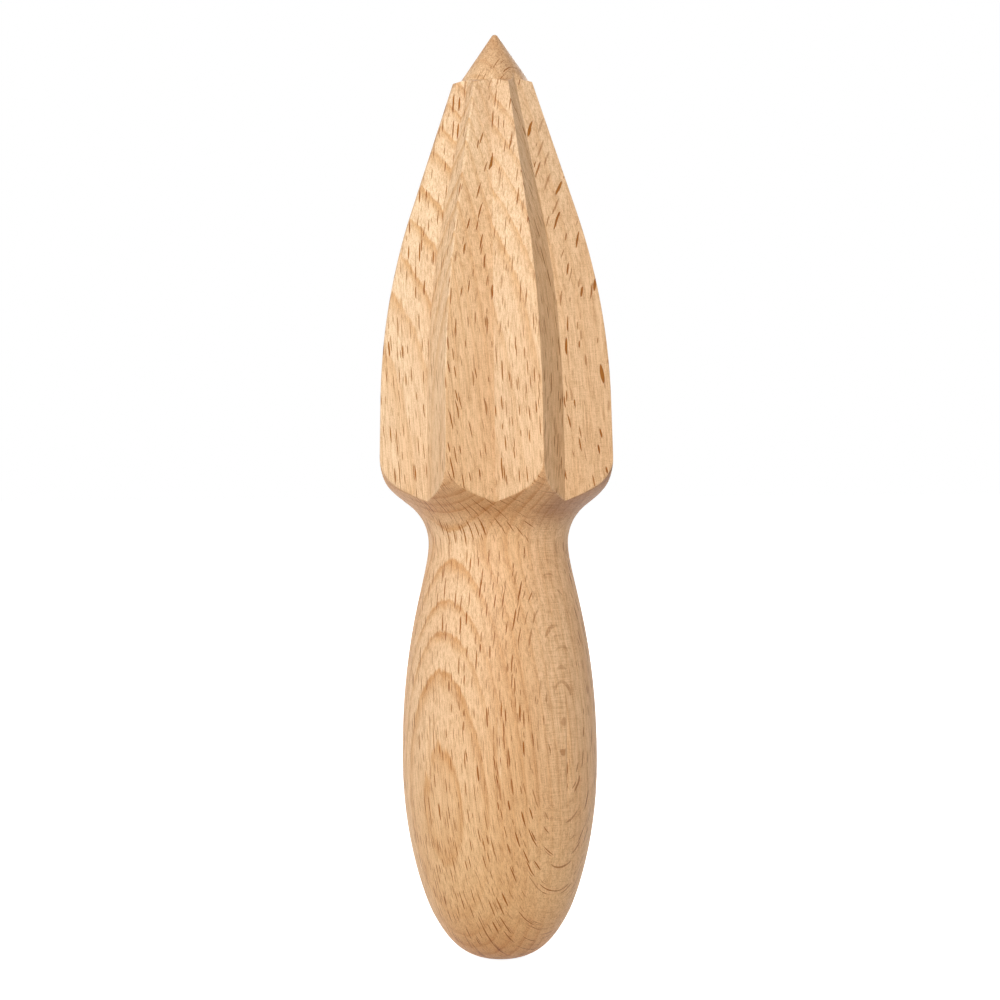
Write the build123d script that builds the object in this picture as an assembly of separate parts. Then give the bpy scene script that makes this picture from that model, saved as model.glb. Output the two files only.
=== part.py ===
from build123d import *
from math import atan2, cos, degrees, dist, radians, sin, tan
import os

# Wooden hand citrus reamer, turned and fluted from one piece of beech:
# a pointed head with V flutes, a narrow neck and a barrel handle with a round end.
# Z runs up the turning axis from the handle's end to the tip, and one flute faces -Y.
# Lengths are in millimetres and angles in degrees.

# Whole reamer
reamer_length = 165.0

# Handle
handle_diameter = 34.8      # at the barrel's widest section
grip_height = 35.0          # of that section above the handle's end
end_radius = 12.95          # of the ball that rounds the handle's end
neck_diameter = 24.9
neck_height = 72.6          # where the barrel's upper slope comes in to the neck
throat_radius = 14.0        # of the hollow between that slope and the neck
neck_flat = 0.25            # short straight at the neck's narrowest
slope_start_share = 0.43    # of the way from the widest section to the neck
barrel_reach_share = 0.86   # of the straight below the slope, taken up by the barrel's bend

# Underside of the head, a cone between two rounded corners
underside_angle = 51.5      # between the underside and the axis
cove_radius = 8.5
shoulder_radius = 7.5

# Side of the head, measured across the ridges
head_diameter = 44.8        # at the shoulder, before its corner is rounded
knee_diameter = 43.3        # where the side's lower and upper slopes cross
crown_diameter = 15.6       # at the top of the ridges
knee_height_share = 0.44    # of the way from the shoulder to the crown
side_reach_share = 0.56     # of the lower slope, taken up by the bend at the knee

# Flutes
flute_count = 8
ridge_angle = 90.0          # between the two walls that meet at a ridge
ridge_land_width = 0.4      # strip of turned surface left along each ridge

# Tip
tip_base_diameter = 12.1
tip_half_angle = 34.6
tip_radius = 0.65
ledge_slope = 18.0          # of the ledge between the crown and the tip's base, below level

# Radii and heights that follow from the sizes above
handle_radius = handle_diameter / 2
neck_radius = neck_diameter / 2
head_radius = head_diameter / 2
knee_radius = knee_diameter / 2
crown_radius = crown_diameter / 2
tip_base_radius = tip_base_diameter / 2

# The lower barrel is one arc that runs level out of the widest section and into the end's ball
ball_drop = grip_height - end_radius
lower_barrel_radius = (handle_radius**2 - end_radius**2 + ball_drop**2) / (
    2 * (handle_radius - end_radius)
)
lower_barrel_turn = degrees(atan2(ball_drop, lower_barrel_radius - handle_radius))

# The upper barrel bends into a straight slope, and the throat turns that back into the neck
slope_start_height = grip_height + slope_start_share * (neck_height - grip_height)
slope_angle = degrees(atan2(handle_radius - neck_radius, neck_height - slope_start_height))
upper_barrel_reach = barrel_reach_share * (slope_start_height - grip_height)
upper_barrel_radius = upper_barrel_reach / tan(radians(slope_angle / 2))
throat_reach = throat_radius * tan(radians(slope_angle / 2))

cove_reach = cove_radius * tan(radians(underside_angle / 2))
cove_height = neck_height + throat_reach + neck_flat + cove_reach
shoulder_height = cove_height + (head_radius - neck_radius) / tan(radians(underside_angle))

tip_centre_height = reamer_length - tip_radius
tip_edge_radius = tip_radius * cos(radians(tip_half_angle))
tip_edge_height = tip_centre_height + tip_radius * sin(radians(tip_half_angle))
tip_base_height = tip_edge_height - (tip_base_radius - tip_edge_radius) / tan(radians(tip_half_angle))
crown_height = tip_base_height - (crown_radius - tip_base_radius) * tan(radians(ledge_slope))
knee_height = shoulder_height + knee_height_share * (crown_height - shoulder_height)

# A flute's wall lies square to a line from the axis, this far round from the flute's middle
ridge_land_depth = ridge_land_width / 2 / tan(radians(ridge_angle / 2))
wall_distance_share = sin(radians(ridge_angle / 2))
wall_turn = 90 - ridge_angle / 2 - 180 / flute_count


def side_corners(radius_share, allowance):
    # Shoulder, knee and crown of the head's side, with each radius drawn at a share of its size
    shoulder = (radius_share * (head_radius + allowance), shoulder_height)
    knee = (radius_share * (knee_radius + allowance), knee_height)
    crown = (radius_share * (crown_radius + allowance), crown_height)
    return shoulder, knee, crown


def side_bend_radius(shoulder, knee, crown):
    # Radius of the arc that rounds the knee over its share of the lower slope
    lower_slope = atan2(shoulder[0] - knee[0], knee[1] - shoulder[1])
    upper_slope = atan2(knee[0] - crown[0], crown[1] - knee[1])
    return side_reach_share * dist(shoulder, knee) / tan((upper_slope - lower_slope) / 2)


def point_at_height(lower, upper, height):
    # Where the straight line through two corners passes a height
    share = (height - lower[1]) / (upper[1] - lower[1])
    return (lower[0] + share * (upper[0] - lower[0]), height)


def turned_blank():
    # The whole outline from the handle's end to the tip, turned about the axis
    widest = (handle_radius, grip_height)
    shoulder, knee, crown = side_corners(1, 0)
    side_radius = side_bend_radius(shoulder, knee, crown)
    with BuildPart() as blank:
        with BuildSketch(Plane.XZ):
            with BuildLine():
                CenterArc((0, end_radius), end_radius, -90, 90 - lower_barrel_turn)
                CenterArc(
                    (handle_radius - lower_barrel_radius, grip_height),
                    lower_barrel_radius,
                    -lower_barrel_turn,
                    lower_barrel_turn,
                )
                FilletPolyline(
                    widest,
                    (handle_radius, slope_start_height),
                    (neck_radius, neck_height),
                    (neck_radius, cove_height),
                    shoulder,
                    knee,
                    crown,
                    radius=[
                        upper_barrel_radius,
                        throat_radius,
                        cove_radius,
                        shoulder_radius,
                        side_radius,
                    ],
                )
                Polyline(
                    crown,
                    (tip_base_radius, tip_base_height),
                    (tip_edge_radius, tip_edge_height),
                )
                CenterArc((0, tip_centre_height), tip_radius, tip_half_angle, 90 - tip_half_angle)
                Line((0, reamer_length), (0, 0))
            make_face()
        revolve(axis=Axis.Z)
    return blank.part


def flute_wall():
    # Everything outside one wall: the wall repeats the head's side at its own distance from
    # the axis, and its slopes run on straight past the shoulder and the crown
    shoulder, knee, crown = side_corners(wall_distance_share, ridge_land_depth)
    wall_bottom = point_at_height(shoulder, knee, neck_height)
    wall_top = point_at_height(knee, crown, reamer_length)
    side_radius = side_bend_radius(shoulder, knee, crown)
    with BuildPart() as wall:
        with BuildSketch(Plane.XZ):
            with BuildLine():
                FilletPolyline(wall_bottom, knee, wall_top, radius=side_radius)
                Polyline(
                    wall_top,
                    (head_diameter, reamer_length),
                    (head_diameter, neck_height),
                    wall_bottom,
                )
            make_face()
        extrude(amount=head_diameter, both=True)
    return wall.part


def fluted_reamer():
    # A flute is what lies outside both of its walls, and the flutes leave the ridges between them
    wall = flute_wall()
    flute = (Rot(0, 0, wall_turn) * wall) & (Rot(0, 0, -wall_turn) * wall)
    reamer = turned_blank()
    for index in range(flute_count):
        reamer -= Rot(0, 0, index * 360 / flute_count - 90) * flute
    return reamer


os.makedirs("parts", exist_ok=True)
reamer = fluted_reamer()
reamer.label = "reamer"
export_step(reamer, "parts/reamer.step")
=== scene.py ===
import math

import bpy
from mathutils import Matrix, Vector
from mathutils.geometry import interpolate_bezier


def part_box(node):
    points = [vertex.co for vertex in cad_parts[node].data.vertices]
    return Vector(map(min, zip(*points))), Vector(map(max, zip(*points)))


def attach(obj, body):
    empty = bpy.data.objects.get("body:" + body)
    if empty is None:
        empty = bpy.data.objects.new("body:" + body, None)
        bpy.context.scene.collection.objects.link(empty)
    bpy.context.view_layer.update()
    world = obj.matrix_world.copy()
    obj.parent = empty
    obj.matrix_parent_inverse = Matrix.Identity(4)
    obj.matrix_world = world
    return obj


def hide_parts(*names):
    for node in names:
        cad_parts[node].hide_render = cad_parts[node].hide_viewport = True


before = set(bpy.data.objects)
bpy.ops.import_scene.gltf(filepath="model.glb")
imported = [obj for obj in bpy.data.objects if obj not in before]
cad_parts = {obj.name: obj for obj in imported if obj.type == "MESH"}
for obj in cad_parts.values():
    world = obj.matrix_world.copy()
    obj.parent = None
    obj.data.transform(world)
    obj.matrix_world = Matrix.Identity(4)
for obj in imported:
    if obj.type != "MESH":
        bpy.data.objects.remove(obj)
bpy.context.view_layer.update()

mm = 0.001
degree = math.pi / 180


# Node helpers

def feed(tree, socket, value):
    if isinstance(value, bpy.types.NodeSocket):
        tree.links.new(value, socket)
    elif value is not None:
        socket.default_value = value


def makeNode(tree, kind, settings=None, **inputs):
    node = tree.nodes.new(kind)
    for name, value in (settings or {}).items():
        setattr(node, name, value)
    for name, value in inputs.items():
        feed(tree, node.inputs[name.replace("_", " ")], value)
    return node


def calc(tree, operation, *values, clamp=False):
    node = makeNode(tree, "ShaderNodeMath", {"operation": operation, "use_clamp": clamp})
    for socket, value in zip(node.inputs, values):
        feed(tree, socket, value)
    return node.outputs[0]


def vectorCalc(tree, operation, first, second=None, output=0):
    node = makeNode(tree, "ShaderNodeVectorMath", {"operation": operation})
    feed(tree, node.inputs[0], first)
    feed(tree, node.inputs["Scale" if operation == "SCALE" else 1], second)
    return node.outputs[output]


def split(tree, vector):
    return makeNode(tree, "ShaderNodeSeparateXYZ", Vector=vector).outputs


def joined(tree, x=0.0, y=0.0, z=0.0):
    return makeNode(tree, "ShaderNodeCombineXYZ", X=x, Y=y, Z=z).outputs[0]


def stepped(tree, value, start, end, low=0.0, high=1.0, smooth=True):
    # Goes from low to high while the value goes from start to end, and stays level outside them
    style = {"interpolation_type": "SMOOTHSTEP" if smooth else "LINEAR"}
    return makeNode(tree, "ShaderNodeMapRange", style, Value=value, From_Min=start, From_Max=end,
                    To_Min=low, To_Max=high).outputs[0]


# Reamer: the turned outline, drawn as radius and height up the axis, in millimetres

reamer = {
    "endReach": 6.25,             # how flat the round end starts
    "endBend": (12.2, 8.55),      # where the round end turns into the barrel
    "endBendAngle": 62.4,
    "endBendReaches": (6.45, 2.23),
    "barrel": (17.4, 35.95),      # widest section
    "barrelReaches": (14.9, 23.15),
    "neck": (12.45, 74.5),
    "neckReach": 6.0,
    "coveRadius": 8.5,
    "undersideAngle": 51.5,       # between the head's underside and the axis
    "shoulderRadius": 7.5,
    "headRadius": 22.4,           # at the shoulder, across the ridges
    "kneeRadius": 21.65,
    "kneeShare": 0.44,            # of the way from the shoulder to the crown
    "kneeReachShare": 0.56,
    "crownRadius": 7.8,
    "crownEdge": 0.35,
    "ledgeSlope": 18.0,
    "tipBaseRadius": 6.05,
    "tipBaseEdge": 0.25,
    "tipHalfAngle": 34.6,
    "tipRadius": 0.65,
    # Rows of faces along each stretch of the outline
    "rows": {
        "end": 16, "lowerBarrel": 14, "upperBarrel": 22, "cove": 14, "underside": 26, "shoulder": 34,
        "lowerSide": 8, "knee": 14, "upperSide": 16, "crown": 8, "ledge": 9, "tipBase": 4, "cone": 14,
        "tip": 6,
    },
    # Inputs of the Geometry Nodes tree. The flutes were cut a little askew to the turning axis.
    "fluting": {
        "Flutes": 8,
        "Columns Per Wall": 28,
        "Ridge Angle": 90 * degree,
        "Ridge Softness": 0.045 * mm,
        "Edge Softness": 0.08 * mm,
        "Low Shift": Vector((-0.07, 0, 0)) * mm,
        "High Shift": Vector((-0.5, 0, 0)) * mm,
        "Merge Distance": 0.0001 * mm,
    },
    "shiftFade": (0.8, 3.8),      # the askew shift ends between these heights above the tip's base
}
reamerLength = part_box("reamer")[1][2] / mm


def arcPoints(before, corner, after, radius, steps):
    # The arc that rounds a corner, both its ends included
    inward = (before - corner).normalized()
    outward = (after - corner).normalized()
    half = inward.angle(outward) / 2
    reach = radius / math.tan(half)
    start, end = corner + inward * reach, corner + outward * reach
    centre = corner + (inward + outward).normalized() * radius / math.sin(half)
    turn = (start - centre).angle_signed(end - centre)
    points = []
    for step in range(steps + 1):
        spoke = (start - centre).copy()
        spoke.rotate(Matrix.Rotation(-turn * step / steps, 2))
        points.append(centre + spoke)
    return points


def straightPoints(start, end, steps):
    # Points between two ends, neither of them included
    return [start.lerp(end, step / steps) for step in range(1, steps)]


def handleOutline(size):
    # Curves from the middle of the round end, over the barrel, up to the neck
    rows = size["rows"]
    up = Vector((0, 1))
    end, bend = Vector((0, 0)), Vector(size["endBend"])
    barrel, neck = Vector(size["barrel"]), Vector(size["neck"])
    bendAngle = size["endBendAngle"] * degree
    slope = Vector((math.cos(bendAngle), math.sin(bendAngle)))
    before, after = size["endBendReaches"]
    lower, upper = size["barrelReaches"]
    stretches = (
        (end, end + Vector((size["endReach"], 0)), bend - slope * before, bend, rows["end"]),
        (bend, bend + slope * after, barrel - up * lower, barrel, rows["lowerBarrel"]),
        (barrel, barrel + up * upper, neck - up * size["neckReach"], neck, rows["upperBarrel"]),
    )
    outline = []
    for *knots, steps in stretches:
        flat = [knot.to_3d() for knot in knots]
        outline += [point.to_2d() for point in interpolate_bezier(*flat, steps + 1)][:-1]
    return outline


def reamerOutline(size):
    # The whole outline, and the heights and radii that the flutes go by
    rows = size["rows"]
    neck = Vector(size["neck"])

    # Corners of the head before they are rounded
    underside = size["undersideAngle"] * degree
    cove = neck + Vector((0, 1)) * size["coveRadius"] * math.tan(underside / 2)
    rise = (size["headRadius"] - neck.x) / math.tan(underside)
    shoulder = Vector((size["headRadius"], cove.y + rise))
    tipAngle = size["tipHalfAngle"] * degree
    tipCentre = Vector((0, reamerLength - size["tipRadius"]))
    tipEdge = tipCentre + size["tipRadius"] * Vector((math.cos(tipAngle), math.sin(tipAngle)))
    tipDrop = (size["tipBaseRadius"] - tipEdge.x) / math.tan(tipAngle)
    tipBase = Vector((size["tipBaseRadius"], tipEdge.y - tipDrop))
    ledgeDrop = (size["crownRadius"] - size["tipBaseRadius"]) * math.tan(size["ledgeSlope"] * degree)
    crown = Vector((size["crownRadius"], tipBase.y - ledgeDrop))
    knee = Vector((size["kneeRadius"], shoulder.y + size["kneeShare"] * (crown.y - shoulder.y)))
    kneeTurn = (knee - shoulder).angle(crown - knee)
    kneeRadius = size["kneeReachShare"] * (knee - shoulder).length / math.tan(kneeTurn / 2)

    coveArc = arcPoints(neck, cove, shoulder, size["coveRadius"], rows["cove"])
    shoulderArc = arcPoints(cove, shoulder, knee, size["shoulderRadius"], rows["shoulder"])
    kneeArc = arcPoints(shoulder, knee, crown, kneeRadius, rows["knee"])
    crownArc = arcPoints(knee, crown, tipBase, size["crownEdge"], rows["crown"])
    baseArc = arcPoints(crown, tipBase, tipEdge, size["tipBaseEdge"], rows["tipBase"])
    outline = handleOutline(size)
    outline += coveArc
    outline += straightPoints(coveArc[-1], shoulderArc[0], rows["underside"])
    outline += shoulderArc
    outline += straightPoints(shoulderArc[-1], kneeArc[0], rows["lowerSide"])
    outline += kneeArc
    outline += straightPoints(kneeArc[-1], crownArc[0], rows["upperSide"])
    outline += crownArc
    outline += straightPoints(crownArc[-1], baseArc[0], rows["ledge"])
    outline += baseArc
    outline += straightPoints(baseArc[-1], tipEdge, rows["cone"])
    for step in range(rows["tip"] + 1):
        angle = tipAngle + (math.pi / 2 - tipAngle) * step / rows["tip"]
        outline.append(tipCentre + size["tipRadius"] * Vector((math.cos(angle), math.sin(angle))))
    outline[-1].x = 0
    marks = {"neck": neck, "cove": coveArc[-1], "sideStart": shoulderArc[-1], "knee": kneeArc[-1],
             "crownStart": crownArc[0], "tipBase": tipBase}
    return outline, marks


def outlineObject(outline):
    # The outline as a chain of edges in the XZ plane
    mesh = bpy.data.meshes.new("reamerOutline")
    points = [(point.x * mm, 0, point.y * mm) for point in outline]
    mesh.from_pydata(points, [(i, i + 1) for i in range(len(points) - 1)], [])
    chain = bpy.data.objects.new("reamerOutline", mesh)
    bpy.context.scene.collection.objects.link(chain)
    return chain


def flutingTree():
    # Turns the outline about the axis and cuts the flutes into it
    tree = bpy.data.node_groups.new("turnAndFlute", "GeometryNodeTree")
    tree.is_modifier = True
    sockets = {
        "Geometry": ("Outline",),
        "Int": ("Flutes", "Columns Per Wall"),
        "Float": ("Ridge Angle", "Ridge Softness", "Edge Softness", "Merge Distance", "Neck Height",
                  "Cove Height", "Shoulder Height", "Shoulder Radius", "Crown Height", "Crown Radius",
                  "Crown Slope", "Fade Start", "Fade End"),
        "Vector": ("Low Shift", "High Shift"),
        "Material": ("Material",),
    }
    for kind, names in sockets.items():
        for name in names:
            tree.interface.new_socket(name, in_out="INPUT", socket_type="NodeSocket" + kind)
    tree.interface.new_socket("Reamer", in_out="OUTPUT", socket_type="NodeSocketGeometry")
    given = makeNode(tree, "NodeGroupInput").outputs

    def do(operation, *values):
        return calc(tree, operation, *values)

    def compare(operation, first, second):
        settings = {"data_type": "FLOAT", "operation": operation}
        return makeNode(tree, "FunctionNodeCompare", settings, A=first, B=second).outputs[0]

    def switched(choice, whenFalse, whenTrue):
        node = makeNode(tree, "GeometryNodeSwitch", {"input_type": "FLOAT"}, Switch=choice)
        feed(tree, node.inputs["False"], whenFalse)
        feed(tree, node.inputs["True"], whenTrue)
        return node.outputs[0]

    # A flat sheet with one row for each outline point and two columns of cells for each wall
    outline = given["Outline"]
    rows = makeNode(tree, "GeometryNodeAttributeDomainSize", Geometry=outline).outputs["Point Count"]
    perFlute = do("MULTIPLY", given["Columns Per Wall"], 2.0)
    columns = do("MULTIPLY", perFlute, given["Flutes"])
    sheet = makeNode(tree, "GeometryNodeMeshGrid", Vertices_X=do("ADD", columns, 1.0), Vertices_Y=rows)
    index = makeNode(tree, "GeometryNodeInputIndex").outputs[0]
    column = do("FLOOR", do("DIVIDE", do("ADD", index, 0.5), rows))
    row = do("SUBTRACT", index, do("MULTIPLY", column, rows))
    sampled = makeNode(tree, "GeometryNodeSampleIndex", {"data_type": "FLOAT_VECTOR", "domain": "POINT"},
                       Geometry=outline, Value=makeNode(tree, "GeometryNodeInputPosition").outputs[0],
                       Index=row)
    station = split(tree, sampled.outputs["Value"])
    turned, height = station["X"], station["Z"]

    # Angle of each column, closest together at the ridges and the valleys
    sector = do("FLOOR", do("DIVIDE", do("ADD", column, 0.5), perFlute))
    across = do("SUBTRACT", column, do("MULTIPLY", sector, perFlute))
    across = do("SUBTRACT", do("DIVIDE", across, given["Columns Per Wall"]), 1.0)
    halfFlute = do("DIVIDE", math.pi, given["Flutes"])
    eased = do("MULTIPLY", do("ABSOLUTE", across), math.pi)
    eased = do("DIVIDE", do("SUBTRACT", 1.0, do("COSINE", eased)), 2.0)
    fromRidge = do("MULTIPLY", eased, halfFlute)
    ridge = do("MULTIPLY", do("ADD", do("MULTIPLY", sector, 2.0), 1.0), halfFlute)
    angle = do("ADD", ridge, do("MULTIPLY", do("SIGN", across), fromRidge))
    angle = do("SUBTRACT", angle, math.pi / 2)
    spoke = joined(tree, x=do("COSINE", angle), y=do("SINE", angle))

    # Radius of the ridges at each height, run on straight past the shoulder and the crown
    aboveCrown = do("MULTIPLY", do("SUBTRACT", height, given["Crown Height"]), given["Crown Slope"])
    aboveCrown = do("SUBTRACT", given["Crown Radius"], aboveCrown)
    isAbove = compare("GREATER_THAN", height, given["Crown Height"])
    isBelow = compare("LESS_THAN", height, given["Shoulder Height"])
    ridgeRadius = switched(isBelow, switched(isAbove, turned, aboveCrown), given["Shoulder Radius"])

    # Each wall is flat across, square to a line from the axis
    halfRidge = do("DIVIDE", given["Ridge Angle"], 2.0)
    wallDistance = do("MULTIPLY", do("SINE", halfRidge), do("ADD", ridgeRadius, given["Ridge Softness"]))
    softTurn = do("DIVIDE", given["Ridge Softness"], ridgeRadius)
    softened = do("SQRT", do("ADD", do("POWER", fromRidge, 2.0), do("POWER", softTurn, 2.0)))
    offWall = do("SUBTRACT", do("SUBTRACT", math.pi / 2, halfRidge), softened)
    wall = do("DIVIDE", wallDistance, do("COSINE", offWall))

    # The flutes' centre leaves the turning axis only along the head
    climb = stepped(tree, height, given["Shoulder Height"], given["Crown Height"], smooth=False)
    centre = makeNode(tree, "ShaderNodeMix", {"data_type": "VECTOR"})
    feed(tree, centre.inputs[0], climb)
    feed(tree, centre.inputs[4], given["Low Shift"])
    feed(tree, centre.inputs[5], given["High Shift"])
    rise = stepped(tree, height, given["Neck Height"], given["Cove Height"])
    fall = stepped(tree, height, given["Fade Start"], given["Fade End"], 1.0, 0.0)
    shift = vectorCalc(tree, "SCALE", centre.outputs[1], do("MULTIPLY", rise, fall))
    along = vectorCalc(tree, "DOT_PRODUCT", shift, spoke, "Value")
    shiftSquared = vectorCalc(tree, "DOT_PRODUCT", shift, shift, "Value")
    reach = do("SUBTRACT", do("POWER", turned, 2.0), shiftSquared)
    reach = do("MAXIMUM", do("ADD", reach, do("POWER", along, 2.0)), 0.0)
    turnedHere = do("SUBTRACT", do("SQRT", reach), along)

    # The cutter leaves the smaller of the two, and the rounding must not pass the axis at the tip
    radius = do("SMOOTH_MIN", turnedHere, wall, given["Edge Softness"])
    radius = do("MAXIMUM", radius, 0.0)
    place = vectorCalc(tree, "ADD", vectorCalc(tree, "SCALE", spoke, radius), joined(tree, z=height))
    place = vectorCalc(tree, "ADD", place, shift)

    surface = makeNode(tree, "GeometryNodeSetPosition", Geometry=sheet.outputs["Mesh"], Position=place)
    closed = makeNode(tree, "GeometryNodeMergeByDistance", Geometry=surface.outputs[0],
                      Distance=given["Merge Distance"])
    smooth = makeNode(tree, "GeometryNodeSetShadeSmooth", Geometry=closed.outputs[0])
    real = makeNode(tree, "GeometryNodeRealizeInstances", Geometry=smooth.outputs[0])
    finished = makeNode(tree, "GeometryNodeSetMaterial", Geometry=real.outputs[0],
                        Material=given["Material"])
    makeNode(tree, "NodeGroupOutput", Reamer=finished.outputs[0])
    return tree


def buildReamer(material):
    outline, marks = reamerOutline(reamer)
    chain = outlineObject(outline)
    tree = flutingTree()
    modifier = chain.modifiers.new("turnAndFlute", "NODES")
    modifier.node_group = tree
    side, knee, crown = marks["sideStart"], marks["knee"], marks["crownStart"]
    fadeStart, fadeEnd = reamer["shiftFade"]
    values = {
        **reamer["fluting"],
        "Neck Height": marks["neck"].y * mm,
        "Cove Height": marks["cove"].y * mm,
        "Shoulder Height": side.y * mm,
        "Shoulder Radius": side.x * mm,
        "Crown Height": crown.y * mm,
        "Crown Radius": crown.x * mm,
        "Crown Slope": (knee.x - crown.x) / (crown.y - knee.y),
        "Fade Start": (marks["tipBase"].y + fadeStart) * mm,
        "Fade End": (marks["tipBase"].y + fadeEnd) * mm,
        "Material": material,
    }
    for socket in tree.interface.items_tree:
        if socket.name in values:
            modifier[socket.identifier] = values[socket.name]
    evaluated = chain.evaluated_get(bpy.context.evaluated_depsgraph_get())
    mesh = bpy.data.meshes.new_from_object(evaluated)
    mesh.name = "fluted_reamer"
    chain.modifiers.clear()
    bpy.data.objects.remove(chain)
    body = bpy.data.objects.new("fluted_reamer", mesh)
    bpy.context.scene.collection.objects.link(body)

    edgeUse = {}
    for polygon in mesh.polygons:
        for key in polygon.edge_keys:
            edgeUse[key] = edgeUse.get(key, 0) + 1
    openEdges = sum(1 for uses in edgeUse.values() if uses != 2)
    triangles = sum(len(polygon.vertices) - 2 for polygon in mesh.polygons)
    print(f"reamer: {len(outline)} rows, {triangles} triangles, {openEdges} open edges")
    return body


# Beech: the log that the reamer was turned from. Lengths and heights are in millimetres.
# Changes are given as start and end, and then the share at the start and at the end, if these
# aren't 0 and 1. Sizes of noise and flecks are round the rings, across them and up the grain.

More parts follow.
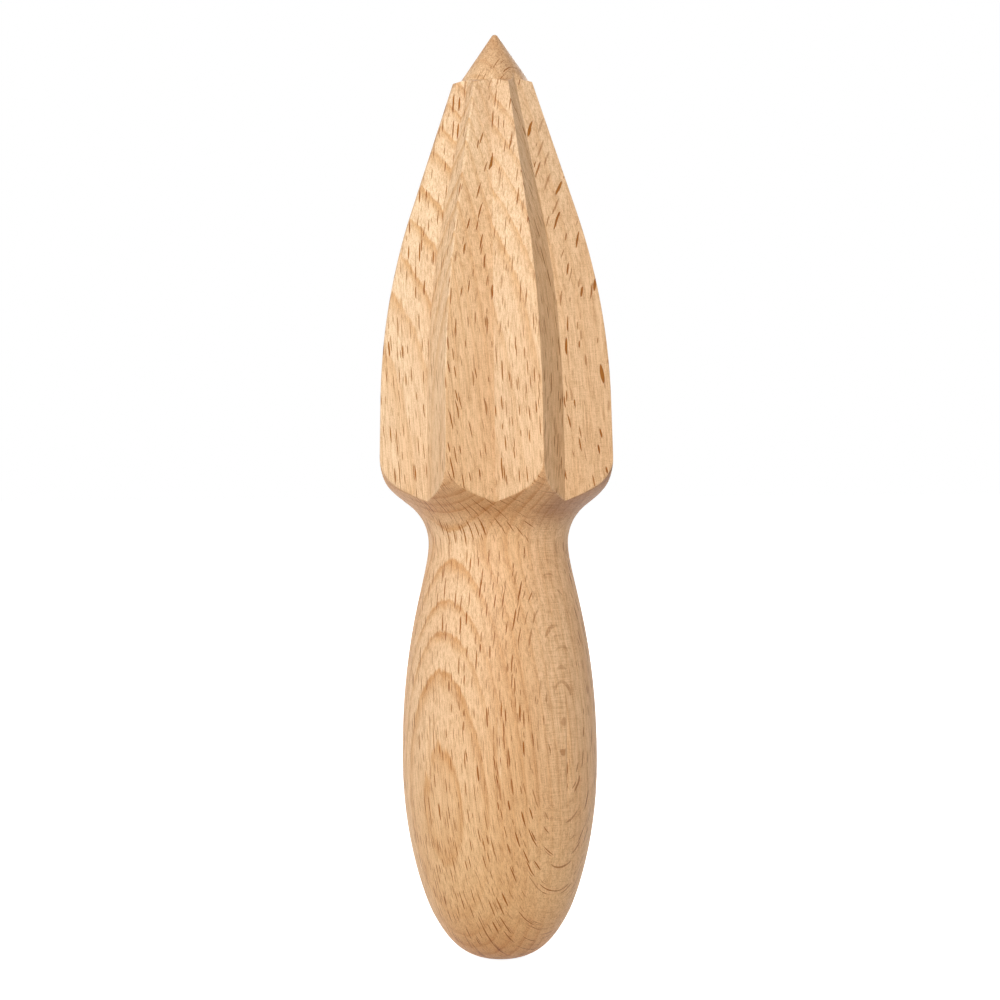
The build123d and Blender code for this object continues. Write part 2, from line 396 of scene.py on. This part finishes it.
wood = {
    "endTone": (0.8, 0.515, 0.264),
    "handleTone": (0.845, 0.585, 0.353),
    "headTone": (0.866, 0.635, 0.411),
    "handleHeights": (8.0, 50.0),        # from the end's tone to the handle's
    "headHeights": (70.0, 110.0),        # and on to the head's
    "crownPaintedLightTone": (0.872, 0.648, 0.42),   # painted light, high on the head, on the heart side
    "crownPaintedShadeTint": (0.95, 0.93, 0.91),     # painted shade, high on the head, on its other side
    "crownHeights": (112.0, 140.0),
    "crownLitSide": (5.5, 8.5),        # distances from the axis towards the heart
    "crownShadedSide": (6.5, 3.0),
    "coneShift": (155.0, 157.0, 0.0, 6.5),   # the tip's cone takes the painted light and shade, and the far side's cut end tone, as if nearer to the heart
    "cloudTint": (0.96, 0.925, 0.89),
    "clouds": ((6, 5, 30), 2.0),         # size and detail of the noise
    "cloudCover": (0.35, 0.7),

    # Faces that look along the rings: shares go by how squarely a face looks across them
    "quarterTint": (0.955, 0.86, 0.74),
    "quarterFacing": (1.0, 0.55),
    "quarterHeights": ((8.0, 42.0, 0.4, 1.0), (150.0, 122.0, 0.35, 1.0)),
    "silverTint": (0.98, 0.92, 0.86),    # faces that look fully along them
    "silverFacing": (0.5, 0.15),

    # Course of the grain
    "pithBearing": -38.7,         # direction of the log's heart, from the front flute to the left
    "pithDistance": 96.7,
    "grainMiddle": 82.0,          # height where the handle's grain passes into the head's
    "handleLean": 0.068,          # rings lean towards the heart, going up
    "handleBow": -0.0003,
    "headLean": 0.04,
    "headBow": 0.0013,
    "headBowStart": 37.0,         # above the grain's middle
    "neckStep": (-9.0, 6.0, 0.0, 1.3),   # step of the grain at the neck, above the same middle
    "sideLean": 0.085,
    "sideBow": 0.00018,

    # Growth rings: width and strength of each, from the heart side outwards
    "rings": (
        (1.9, 0.72), (2.23, 1.3), (1.62, 1.0), (1.6, 1.05), (2.08, 1.15), (2.17, 1.15), (2.6, 1.2),
        (1.75, 1.0), (1.8, 0.95), (1.8, 0.9), (1.7, 0.9), (2.4, 0.6), (3.4, 1.0), (2.5, 0.5), (2.7, 0.4),
        (2.5, 0.9), (2.2, 1.1), (2.6, 0.7), (2.2, 1.0), (2.5, 0.8), (2.3, 1.2), (2.5, 0.9), (2.2, 1.0),
    ),
    "heartEdge": 22.75,           # innermost ring's edge, towards the heart from the turning axis
    "heartStrength": 0.9,         # at that edge
    "strongest": 1.5,             # top of the strength curve
    # Size, detail and reach of the waves in the rings' edges
    "ringWaves": (((14, 14, 45), 1.0, 0.5), ((1.6, 1.6, 9), 1.0, 0.35), ((0.3, 0.4, 4), 0.0, 0.22)),
    # Darkness of the late wood through one ring, from its outer edge inwards
    "bandProfile": (
        (0, 0.45), (0.03, 0.9), (0.08, 1.0), (0.14, 0.7), (0.24, 0.5), (0.34, 0.2), (0.5, 0.06),
        (0.8, 0.02), (0.95, 0.02), (0.985, 0.12), (1, 0.45),
    ),
    "bandTint": (0.77, 0.59, 0.38),
    "patches": ((3, 3, 25), 1.0),
    "patchCover": (0.3, 0.7, 0.7, 1.15),
    "bandFacing": (2.6, 0.45),    # how fast the bands weaken on turned faces, and their least share
    "bandEnd": (5.0, 40.0, 0.35, 1.0),         # weaker at the handle's end
    "bandBelow": (88.0, 80.0),                 # plain below the head
    "bandAbove": (92.0, 128.0, 0.35, 1.0),     # and again towards the crown
    "bandCutEnd": 0.75,                        # share on cut ends

    # Fine streaks up the grain: size, detail and strength
    "fibres": ((0.17, 0.2, 3.2), 1.0, 1.7),
    "strands": ((0.45, 0.55, 11), 1.0, 0.95),
    "speckles": ((0.09, 0.09, 0.2), 0.0, 1.1),
    "rungs": ((0.3, 3.5, 0.16), 0.0),          # fine rays across the quartered faces
    "rungFacing": (0.5, 0.05, 0.2, 0.9),
    "streakLevel": 0.38,
    "fibreTint": (0.64, 0.53, 0.42),

    # Ray flecks, one to a cell: size of the cell, half size of the fleck, darkness and offset
    "flecks": {
        "broad": ((1.7, 12, 5.4), (0.18, 4.8, 2.1), 1.35, (0.4, 3, 1.7)),
        "small": ((1.5, 9, 4.5), (0.125, 3.7, 1.75), 1.35, (7.3, 1.1, 5.9)),
        "short": ((1.4, 8, 3.1), (0.1, 3.3, 1.05), 0.8, (3.1, 6.2, 0.8)),
        "slanted": ((1.3, 10, 4.6), (0.13, 4.2, 1.8), 1.35, (5.2, 2.4, 3.3)),
    },
    "fleckWobble": ((3, 6, 4), 1.0, 0.3),
    "fleckScatter": 0.8,          # of each fleck within its cell
    "fleckThickness": (0.75, 1.25),
    "fleckHeight": (0.5, 1.15),
    "fleckDarkness": (0.35, 1.0),
    "fleckEdge": (1.0, 0.75),     # from the fleck's rim to where it is fully dark
    "fleckFacing": (0.65, 0.4),   # how fast flecks thin on turned faces, and their least share
    "fleckShowing": (0.05, 0.3, 0.4, 1.0),     # by how squarely the face looks across the rings
    "fleckFull": (60.0, 40.0),                 # low on the handle all of them show
    "slantFacing": ((0.85, 0.6), (0.15, 0.4)),  # the slanted ones show on faces between the two
    "slantFull": (34.0, 20.0),
    "fleckTint": (0.41, 0.2, 0.0),

    # Pits in the tip's cone
    "pits": ((0.32, 0.32, 0.5), 1.0),
    "pitCover": (0.56, 0.7),
    "pitHeights": (152.0, 157.5, 0.0, 0.38),

    # Cut ends of the fibres, by how far a face looks up or down
    "cutEndTint": (0.925, 0.84, 0.75),
    "cutEndTilt": (0.2, 0.8),
    "farEndShadeAndGrainTint": (0.64, 0.56, 0.5),           # on the cut ends away from the heart: partly a deeper end grain tone and partly painted shade
    "farEndSide": (8.0, 2.5),
    "farEndHeights": ((20.0, 40.0), (155.0, 150.0, 0.45, 1.0)),
    "shoulderFacing": (0.95, 0.985),           # the shoulder between the flutes' lower ends
    "shoulderHeights": ((80.5, 83.5), (90.5, 88.5)),

    "roughness": 0.46,
    "streakRoughness": 0.12,      # added in the streaks
    "fleckRoughness": -0.06,
    "shine": 0.3,
    "fibreRelief": -0.6,
    "fleckRelief": -0.5,
    "reliefStrength": 0.3,
    "reliefDepth": 0.03,
}


def curved(tree, value, points):
    # A float curve of straight runs through the points, for a value from 0 to 1
    node = makeNode(tree, "ShaderNodeFloatCurve", Value=value)
    curve = node.mapping.curves[0]
    for _ in points[2:]:
        curve.points.new(0.5, 0.5)
    for knot, point in zip(curve.points, points):
        knot.location = point
        knot.handle_type = "VECTOR"
    node.mapping.update()
    return node.outputs[0]


def mixed(tree, blend, share, first, second):
    node = makeNode(tree, "ShaderNodeMix", {"data_type": "RGBA", "blend_type": blend})
    feed(tree, node.inputs[0], share)
    for socket, colour in ((node.inputs[6], first), (node.inputs[7], second)):
        feed(tree, socket, (*colour, 1) if isinstance(colour, tuple) else colour)
    return node.outputs[2]


def blended(tree, share, first, second):
    return mixed(tree, "MIX", share, first, second)


def tinted(tree, colour, tint, share):
    # Multiplies a colour by a tint, by the given share
    return mixed(tree, "MULTIPLY", share, colour, tint)


def times(tree, share, value, *changes):
    # Multiplies a share by what a value gives in each of the changes
    for change in changes:
        share = calc(tree, "MULTIPLY", share, stepped(tree, value, *change))
    return share


def grainNoise(tree, grain, size, detail):
    # Noise with its own size round the rings, across them and up the grain
    scaled = vectorCalc(tree, "DIVIDE", grain, Vector(size))
    return makeNode(tree, "ShaderNodeTexNoise", Vector=scaled, Scale=1.0, Detail=detail).outputs["Fac"]


def grainWave(tree, grain, size, detail):
    # The same noise, swinging about zero
    return calc(tree, "SUBTRACT", grainNoise(tree, grain, size, detail), 0.5)


def levelled(tree, vector):
    # A vector's direction as seen from above
    return vectorCalc(tree, "NORMALIZE", vectorCalc(tree, "MULTIPLY", vector, (1, 1, 0)))


def grainCoordinates(tree, place):
    # Where a point lies in the log: round the rings, across them towards the heart, and up
    place = vectorCalc(tree, "SCALE", place, 1 / mm)
    height = split(tree, place)["Z"]
    bearing = wood["pithBearing"] * degree
    towardsHeart = (math.sin(bearing), -math.cos(bearing), 0)
    besideHeart = (math.cos(bearing), math.sin(bearing), 0)
    up = calc(tree, "SUBTRACT", height, wood["grainMiddle"])
    low, high = calc(tree, "MINIMUM", up, 0.0), calc(tree, "MAXIMUM", up, 0.0)
    top = calc(tree, "MAXIMUM", calc(tree, "SUBTRACT", up, wood["headBowStart"]), 0.0)
    inward = vectorCalc(tree, "DOT_PRODUCT", place, towardsHeart, "Value")
    stretches = (
        (low, wood["handleLean"], wood["handleBow"]),
        (high, wood["headLean"], 0.0),
        (top, 0.0, wood["headBow"]),
    )
    for run, lean, bow in stretches:
        bent = calc(tree, "MULTIPLY", run, calc(tree, "MULTIPLY_ADD", run, bow, lean))
        inward = calc(tree, "SUBTRACT", inward, bent)
    inward = calc(tree, "ADD", inward, stepped(tree, up, *wood["neckStep"]))
    aside = vectorCalc(tree, "DOT_PRODUCT", place, besideHeart, "Value")
    aside = calc(tree, "MULTIPLY_ADD", up, wood["sideLean"], aside)
    aside = calc(tree, "MULTIPLY_ADD", calc(tree, "MULTIPLY", up, up), wood["sideBow"], aside)
    toPith = calc(tree, "SUBTRACT", wood["pithDistance"], inward)
    ringRadius = vectorCalc(tree, "LENGTH", joined(tree, x=toPith, y=aside), output="Value")
    across = calc(tree, "SUBTRACT", wood["pithDistance"], ringRadius)
    around = calc(tree, "MULTIPLY", calc(tree, "ARCTAN2", aside, toPith), wood["pithDistance"])
    return joined(tree, around, across, height), height


def slabShare(tree, place, normal):
    # How squarely a face looks across the rings: 1 on a slab face, 0 on a quartered one
    bearing, reach = wood["pithBearing"] * degree, wood["pithDistance"] * mm
    heart = (reach * math.sin(bearing), -reach * math.cos(bearing), 0)
    heartward = levelled(tree, vectorCalc(tree, "SUBTRACT", heart, place))
    return calc(tree, "ABSOLUTE", vectorCalc(tree, "DOT_PRODUCT", normal, heartward, "Value"))


def woodTone(tree, grain, height, across, slab):
    # Slow changes of tone along the reamer and through the log, with painted light on the heart side
    # high on the head and painted shade on its other side
    handle, head = wood["handleHeights"], wood["headHeights"]
    colour = blended(tree, stepped(tree, height, *handle), wood["endTone"], wood["handleTone"])
    colour = blended(tree, stepped(tree, height, *head), colour, wood["headTone"])
    crown = stepped(tree, height, *wood["crownHeights"])
    # Painted light on the heart side high on the head, painted shade on its other side
    paintedLightShare = times(tree, crown, across, wood["crownLitSide"])
    paintedShadeShare = times(tree, crown, across, wood["crownShadedSide"])
    colour = blended(tree, paintedLightShare, colour, wood["crownPaintedLightTone"])
    colour = tinted(tree, colour, wood["crownPaintedShadeTint"], paintedShadeShare)
    quartered = stepped(tree, slab, *wood["quarterFacing"])
    quartered = times(tree, quartered, height, *wood["quarterHeights"])
    silver = stepped(tree, slab, *wood["silverFacing"])
    tint = blended(tree, silver, wood["quarterTint"], wood["silverTint"])
    colour = tinted(tree, colour, tint, quartered)
    cloud = grainNoise(tree, grain, *wood["clouds"])
    return tinted(tree, colour, wood["cloudTint"], stepped(tree, cloud, *wood["cloudCover"]))


def growthBands(tree, grain):
    # The darker late wood of each ring: sharp on its outer side, fading towards the heart
    across = split(tree, grain)["Y"]
    for size, detail, swing in wood["ringWaves"]:
        across = calc(tree, "MULTIPLY_ADD", grainWave(tree, grain, size, detail), swing, across)

    edges = [wood["heartEdge"]]
    for width, strength in wood["rings"]:
        edges.append(edges[-1] - width)
    edges.reverse()
    strengths = [strength for width, strength in reversed(wood["rings"])]
    count, low, reach = len(strengths), edges[0], edges[-1] - edges[0]
    share = calc(tree, "DIVIDE", calc(tree, "SUBTRACT", across, low), reach)
    numbers = [((edge - low) / reach, number / count) for number, edge in enumerate(edges)]
    number = calc(tree, "MULTIPLY", curved(tree, share, numbers), float(count))
    top = wood["strongest"]
    levels = [(0, strengths[0] / top)]
    for outer, inner, strength in zip(edges, edges[1:], strengths):
        levels.append((((outer + inner) / 2 - low) / reach, strength / top))
    levels.append((1, wood["heartStrength"] / top))
    strength = calc(tree, "MULTIPLY", curved(tree, share, levels), top)

    late = curved(tree, calc(tree, "FRACT", number), wood["bandProfile"])
    band = calc(tree, "MULTIPLY", late, strength)
    patches = stepped(tree, grainNoise(tree, grain, *wood["patches"]), *wood["patchCover"])
    return calc(tree, "MULTIPLY", band, patches, clamp=True)


def bandShare(tree, height, slab, cutEnd):
    # How plainly the bands show on a face
    power, least = wood["bandFacing"]
    share = calc(tree, "MAXIMUM", calc(tree, "POWER", slab, power), least)
    share = times(tree, share, height, wood["bandEnd"])
    below, above = stepped(tree, height, *wood["bandBelow"]), stepped(tree, height, *wood["bandAbove"])
    share = calc(tree, "MULTIPLY", share, calc(tree, "MAXIMUM", below, above))
    return calc(tree, "MAXIMUM", share, calc(tree, "MULTIPLY", cutEnd, wood["bandCutEnd"]))


def fineStreaks(tree, grain, slab):
    # Fibres and pores up the grain, and the rungs of fine rays. Returns the fibres by themselves too.
    streaks, waves = wood["streakLevel"], []
    for size, detail, strength in (wood["fibres"], wood["strands"], wood["speckles"]):
        waves.append(grainWave(tree, grain, size, detail))
        streaks = calc(tree, "MULTIPLY_ADD", waves[-1], strength, streaks)
    rungs = times(tree, grainWave(tree, grain, *wood["rungs"]), slab, wood["rungFacing"])
    return calc(tree, "ADD", rungs, streaks, clamp=True), waves[0]


def rayFlecks(tree, grain, slab, showing, spacing, size, darkness, offset):
    # Thin lens-shaped sheets that run out from the heart, one to a cell. Where a face looks
    # along the rings it runs beside the sheets, and only their middles show.
    wobbleSize, detail, swing = wood["fleckWobble"]
    wobble = calc(tree, "MULTIPLY", grainWave(tree, grain, wobbleSize, detail), swing)
    bent = vectorCalc(tree, "ADD", grain, joined(tree, x=wobble))
    cells = vectorCalc(tree, "DIVIDE", vectorCalc(tree, "ADD", bent, Vector(offset)), Vector(spacing))
    voronoi = makeNode(tree, "ShaderNodeTexVoronoi", {"voronoi_dimensions": "3D", "feature": "F1"},
                       Vector=cells, Scale=1.0, Randomness=wood["fleckScatter"])
    chance = makeNode(tree, "ShaderNodeSeparateColor", Color=voronoi.outputs["Color"]).outputs
    away = vectorCalc(tree, "SUBTRACT", cells, voronoi.outputs["Position"])
    away = vectorCalc(tree, "MULTIPLY", away, Vector(spacing))

    def varied(draw, value, shares):
        low, high = shares
        return stepped(tree, draw, 0.0, 1.0, value * low, value * high, smooth=False)

    thick, deep, tall = size
    tall = varied(chance["Red"], tall, wood["fleckHeight"])
    thick = varied(chance["Green"], thick, wood["fleckThickness"])
    power, least = wood["fleckFacing"]
    thinned = calc(tree, "MAXIMUM", calc(tree, "POWER", slab, power), least)
    extent = joined(tree, calc(tree, "MULTIPLY", thick, thinned), deep, tall)
    distance = vectorCalc(tree, "LENGTH", vectorCalc(tree, "DIVIDE", away, extent), output="Value")
    lens = stepped(tree, distance, *wood["fleckEdge"])
    level = calc(tree, "MULTIPLY", varied(chance["Blue"], darkness, wood["fleckDarkness"]), showing)
    return calc(tree, "MULTIPLY", lens, level, clamp=True)


def allFlecks(tree, grain, height, slab):
    # Every kind of fleck, the darkest one where they meet
    showing = stepped(tree, slab, *wood["fleckShowing"])
    showing = calc(tree, "MAXIMUM", showing, stepped(tree, height, *wood["fleckFull"]))
    fromSlab, fromQuarter = wood["slantFacing"]
    slanting = times(tree, stepped(tree, slab, *fromSlab), slab, fromQuarter)
    slanting = calc(tree, "MAXIMUM", slanting, stepped(tree, height, *wood["slantFull"]))
    fleck = 0.0
    for kind, values in wood["flecks"].items():
        share = slanting if kind == "slanted" else showing
        fleck = calc(tree, "MAXIMUM", fleck, rayFlecks(tree, grain, slab, share, *values))
    return fleck


def shoulderShare(tree, place, normal, height):
    # 1 on the turned surface between the flutes' lower ends, 0 on the flutes' walls
    facing = vectorCalc(tree, "DOT_PRODUCT", levelled(tree, normal), levelled(tree, place), "Value")
    return times(tree, stepped(tree, facing, *wood["shoulderFacing"]), height, *wood["shoulderHeights"])


def beechMaterial():
    material = bpy.data.materials.new("beech")
    material.use_nodes = True
    tree = material.node_tree
    shader = tree.nodes["Principled BSDF"]
    coordinates = makeNode(tree, "ShaderNodeTexCoord").outputs
    place, normal = coordinates["Object"], coordinates["Normal"]
    grain, height = grainCoordinates(tree, place)
    slab = slabShare(tree, place, normal)
    across = calc(tree, "ADD", split(tree, grain)["Y"], stepped(tree, height, *wood["coneShift"]))
    tilt = calc(tree, "ABSOLUTE", split(tree, normal)["Z"])
    cutEnd = stepped(tree, tilt, *wood["cutEndTilt"])

    colour = woodTone(tree, grain, height, across, slab)
    banded = calc(tree, "MULTIPLY", growthBands(tree, grain), bandShare(tree, height, slab, cutEnd))
    colour = tinted(tree, colour, wood["bandTint"], banded)
    streaks, fibre = fineStreaks(tree, grain, slab)
    colour = tinted(tree, colour, wood["fibreTint"], streaks)
    fleck = allFlecks(tree, grain, height, slab)
    colour = tinted(tree, colour, wood["fleckTint"], fleck)
    pit = stepped(tree, grainNoise(tree, grain, *wood["pits"]), *wood["pitCover"])
    colour = tinted(tree, colour, wood["fleckTint"], times(tree, pit, height, wood["pitHeights"]))

    # Cut ends of the fibres take a deeper tone. Away from the heart they darken further, partly a deeper
    # end grain tone and partly painted shade
    cutEnd = calc(tree, "MAXIMUM", cutEnd, shoulderShare(tree, place, normal, height))
    colour = tinted(tree, colour, wood["cutEndTint"], cutEnd)
    farShadeAndGrain = times(tree, cutEnd, across, wood["farEndSide"])
    farShadeAndGrain = times(tree, farShadeAndGrain, height, *wood["farEndHeights"])
    colour = tinted(tree, colour, wood["farEndShadeAndGrainTint"], farShadeAndGrain)
    feed(tree, shader.inputs["Base Color"], colour)
    shader.inputs["Specular IOR Level"].default_value = wood["shine"]

    roughness = calc(tree, "MULTIPLY_ADD", streaks, wood["streakRoughness"], wood["roughness"])
    roughness = calc(tree, "MULTIPLY_ADD", fleck, wood["fleckRoughness"], roughness)
    feed(tree, shader.inputs["Roughness"], roughness)
    relief = calc(tree, "MULTIPLY", fleck, wood["fleckRelief"])
    relief = calc(tree, "MULTIPLY_ADD", fibre, wood["fibreRelief"], relief)
    bump = makeNode(tree, "ShaderNodeBump", Strength=wood["reliefStrength"],
                    Distance=wood["reliefDepth"] * mm, Height=relief)
    feed(tree, shader.inputs["Normal"], bump.outputs[0])
    print(f"beech: {len(wood['rings'])} rings, {len(wood['flecks'])} kinds of fleck")
    return material


# Studio

studio = {
    "pixel": 0.1786,              # millimetres on the axis for one pixel of the photograph
    "imageSize": 1000,
    "axisPixel": 497.98,          # where the axis crosses the photograph's middle row
    "endPixel": 958.3,            # row of the handle's end
    "lean": 0.417,                # tip to the left
    "turn": 1.2,                  # camera to the right of the flute's middle
    "rise": 1.6,                  # camera above level
    "distance": 0.7,
    "sensor": 36.0,
    "roomLight": 0.12,
    "floorReach": 3.0,
    "floorColour": (0.72, 0.72, 0.71),
    "floorGlow": 0.94,
    "floorRoughness": 0.9,
    # Bearing from the camera side, rise, distance, size and power of each lamp
    "lamps": {
        "keyLight": (-8, 32, 1.1, 0.6, 9.0),
        "leftLight": (-75, 20, 1.2, 0.6, 5.0),
        "rightLight": (43, 20, 1.2, 0.6, 2.3),
        "backLight": (172, 32, 1.2, 0.6, 5.5),
    },
}


def makeCamera():
    pixel = studio["pixel"] * mm
    half = studio["imageSize"] / 2
    camera = bpy.data.objects.new("photoCamera", bpy.data.cameras.new("photoCamera"))
    camera.data.sensor_width = studio["sensor"]
    camera.data.lens = studio["sensor"] * studio["distance"] / (studio["imageSize"] * pixel)
    facing = Matrix.Rotation(studio["turn"] * degree, 3, "Z")
    tilt = studio["rise"] * degree
    aim = facing @ Vector(((half - studio["axisPixel"]) * pixel, 0, 0))
    drop = (studio["endPixel"] - half) * pixel
    aim.z = drop / (math.cos(tilt) - drop / studio["distance"] * math.sin(tilt))
    place = aim + facing @ Vector((0, -math.cos(tilt), math.sin(tilt))) * studio["distance"]
    level = facing @ Matrix.Rotation(math.pi / 2 - tilt, 3, "X")
    rotation = level @ Matrix.Rotation(-studio["lean"] * degree, 3, "Z")
    camera.matrix_world = Matrix.Translation(place) @ rotation.to_4x4()
    bpy.context.scene.collection.objects.link(camera)
    bpy.context.scene.camera = camera


def softbox(name, bearing, rise, distance, size, power):
    # A square area light, aimed at the reamer's middle from a bearing and a rise
    light = bpy.data.lights.new(name, "AREA")
    light.shape = "SQUARE"
    light.size = size
    light.energy = power
    lamp = bpy.data.objects.new(name, light)
    middle = Vector((0, 0, reamerLength / 2 * mm))
    turn, tilt = bearing * degree, rise * degree
    away = Vector((math.sin(turn) * math.cos(tilt), -math.cos(turn) * math.cos(tilt), math.sin(tilt)))
    lamp.location = middle + away * distance
    lamp.rotation_euler = away.to_track_quat("Z", "Y").to_euler()
    bpy.context.scene.collection.objects.link(lamp)


def seenDirectly(tree):
    # 1 for what the camera, a reflection or glass sees, 0 for the light that falls on things
    path = makeNode(tree, "ShaderNodeLightPath").outputs
    seen = calc(tree, "MAXIMUM", path["Is Camera Ray"], path["Is Glossy Ray"])
    return calc(tree, "MAXIMUM", seen, path["Is Transmission Ray"])


def makeRoom():
    # The camera, reflections and glass see a white room, and the light itself is plainer
    world = bpy.data.worlds.new("studio")
    bpy.context.scene.world = world
    world.use_nodes = True
    tree = world.node_tree
    tree.nodes.clear()
    plain = makeNode(tree, "ShaderNodeBackground", Color=(1, 1, 1, 1), Strength=studio["roomLight"])
    white = makeNode(tree, "ShaderNodeBackground", Color=(1, 1, 1, 1), Strength=1.0)
    room = makeNode(tree, "ShaderNodeMixShader")
    feed(tree, room.inputs[0], seenDirectly(tree))
    feed(tree, room.inputs[1], plain.outputs[0])
    feed(tree, room.inputs[2], white.outputs[0])
    makeNode(tree, "ShaderNodeOutputWorld", Surface=room.outputs[0])


def makeFloor():
    mesh = bpy.data.meshes.new("floor")
    reach = studio["floorReach"]
    corners = [(-reach, -reach, 0), (reach, -reach, 0), (reach, reach, 0), (-reach, reach, 0)]
    mesh.from_pydata(corners, [], [(0, 1, 2, 3)])
    floor = bpy.data.objects.new("floor", mesh)
    bpy.context.scene.collection.objects.link(floor)
    material = bpy.data.materials.new("paleFloor")
    material.use_nodes = True
    tree = material.node_tree
    shader = tree.nodes["Principled BSDF"]
    shader.inputs["Base Color"].default_value = (*studio["floorColour"], 1)
    shader.inputs["Roughness"].default_value = studio["floorRoughness"]
    shader.inputs["Specular IOR Level"].default_value = 0.0
    shader.inputs["Emission Color"].default_value = (1, 1, 1, 1)
    glow = calc(tree, "MULTIPLY", seenDirectly(tree), studio["floorGlow"])
    feed(tree, shader.inputs["Emission Strength"], glow)
    mesh.materials.append(material)


beech = beechMaterial()
body = buildReamer(beech)
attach(body, "root")
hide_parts("reamer")

bpy.context.scene.view_settings.view_transform = "Standard"
makeCamera()
makeRoom()
makeFloor()
for name, values in studio["lamps"].items():
    softbox(name, *values)
print(f"studio: {len(studio['lamps'])} lamps")
